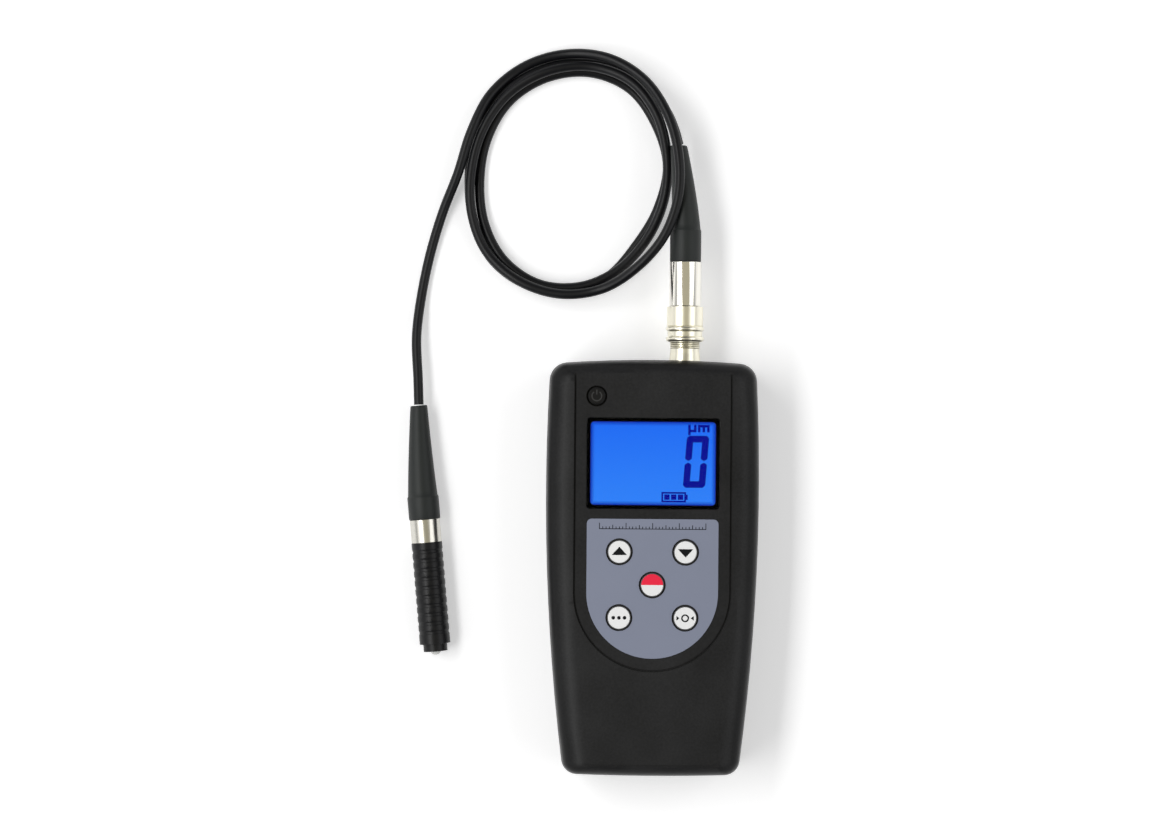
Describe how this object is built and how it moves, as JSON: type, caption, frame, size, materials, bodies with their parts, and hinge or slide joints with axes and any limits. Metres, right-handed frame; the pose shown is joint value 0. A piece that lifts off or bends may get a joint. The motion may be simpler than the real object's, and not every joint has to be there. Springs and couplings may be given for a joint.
{
  "type": "coating thickness gauge",
  "caption": "Hand-held coating thickness gauge lying on its back, with a lit display, round keys, a sliding battery door and a ribbed spring probe on a looped cable.",
  "frame": {"origin": "middle of the housing's back face, which rests on the table", "axes": "+X to the right of the display, +Y towards the connector end, +Z out of the display"},
  "size_m": [0.107, 0.2212, 0.027],
  "materials": {
    "housing_plastic": "fine satin texture",
    "screw_steel": "plated",
    "window_clear": "clear polished",
    "display_blue": "lit liquid crystal",
    "light_guide": "diffuse",
    "frame_plastic": "moulded",
    "label_film": "printed film",
    "board_green": "solder mask",
    "chip_black": "moulded epoxy",
    "key_white": "moulded satin",
    "key_black": "moulded satin",
    "stem_cream": "moulded",
    "switch_black": "moulded",
    "cell_foil": "plain sleeve",
    "contact_steel": "nickel plated",
    "spring_steel": "plated wire",
    "nickel": "satin nickel",
    "insert_black": "moulded",
    "contact_brass": "gold plated",
    "boot_rubber": "matt moulded",
    "cable_jacket": "satin jacket",
    "sleeve_plastic": "turned, ribbed",
    "core_plastic": "turned",
    "tip_white": "polished",
    "coil_copper": "enamelled wire"
  },
  "bodies": {
    "gauge": {"front_shell": "housing_plastic", "rear_shell": "housing_plastic", "housing_screws": "screw_steel", "display_window": "window_clear", "display_glass": "display_blue", "backlight": "light_guide", "display_frame": "frame_plastic", "key_label": "label_film", "main_board": "board_green", "processor_chip": "chip_black", "board_screws": "screw_steel", "up_switch": "switch_black", "down_switch": "switch_black", "select_switch": "switch_black", "count_switch": "switch_black", "zero_switch": "switch_black", "power_switch": "switch_black", "cell_1": "cell_foil", "cell_2": "cell_foil", "cell_3": "cell_foil", "cell_4": "cell_foil", "upper_contacts": "contact_steel", "lower_contacts": "contact_steel", "cell_springs": "spring_steel", "socket_body": "nickel", "socket_insert": "insert_black", "socket_contacts": "contact_brass", "socket_nut": "nickel", "plug_shell": "nickel", "plug_insert": "insert_black", "plug_pins": "contact_brass", "plug_boot": "boot_rubber", "probe_cable": "cable_jacket", "probe_boot": "boot_rubber", "probe_collar": "nickel", "probe_sleeve": "sleeve_plastic", "probe_spring": "spring_steel"},
    "up_key": {"up_key": "key_white", "up_stem": "stem_cream"},
    "down_key": {"down_key": "key_white", "down_stem": "stem_cream"},
    "select_key": {"select_key": "key_white", "select_stem": "stem_cream"},
    "count_key": {"count_key": "key_white", "count_stem": "stem_cream"},
    "zero_key": {"zero_key": "key_white", "zero_stem": "stem_cream"},
    "power_key": {"power_key": "key_black", "power_stem": "stem_cream"},
    "battery_door": {"battery_door": "housing_plastic"},
    "coupling_ring": {"coupling_ring": "nickel"},
    "probe_plunger": {"probe_core": "core_plastic", "probe_tip": "tip_white", "sensor_coil": "coil_copper"}
  },
  "joints": [
    {"name": "up_key_press", "type": "slide", "parent": "gauge", "child": "up_key", "axis": [0, 0, -1], "range_m": [0, 0.0006], "stiffness_N_per_m": 500, "springref_m": -0.0005},
    {"name": "down_key_press", "type": "slide", "parent": "gauge", "child": "down_key", "axis": [0, 0, -1], "range_m": [0, 0.0006], "stiffness_N_per_m": 500, "springref_m": -0.0005},
    {"name": "select_key_press", "type": "slide", "parent": "gauge", "child": "select_key", "axis": [0, 0, -1], "range_m": [0, 0.0006], "stiffness_N_per_m": 500, "springref_m": -0.0005},
    {"name": "count_key_press", "type": "slide", "parent": "gauge", "child": "count_key", "axis": [0, 0, -1], "range_m": [0, 0.0006], "stiffness_N_per_m": 500, "springref_m": -0.0005},
    {"name": "zero_key_press", "type": "slide", "parent": "gauge", "child": "zero_key", "axis": [0, 0, -1], "range_m": [0, 0.0006], "stiffness_N_per_m": 500, "springref_m": -0.0005},
    {"name": "power_key_press", "type": "slide", "parent": "gauge", "child": "power_key", "axis": [0, 0, -1], "range_m": [0, 0.0006], "stiffness_N_per_m": 500, "springref_m": -0.0005},
    {"name": "battery_door_slide", "type": "slide", "parent": "gauge", "child": "battery_door", "axis": [0, -1, 0], "range_m": [0, 0.06]},
    {"name": "coupling_ring_turn", "type": "hinge", "parent": "gauge", "child": "coupling_ring", "pos_m": [0.0096, 0.072, 0.012], "axis": [0, 1, 0], "continuous": true},
    {"name": "probe_press", "type": "slide", "parent": "gauge", "child": "probe_plunger", "axis": [-0.0906, 0.9959, 0], "range_m": [0, 0.002], "stiffness_N_per_m": 400, "springref_m": -0.002, "deforming": ["probe_spring"]}
  ]
}
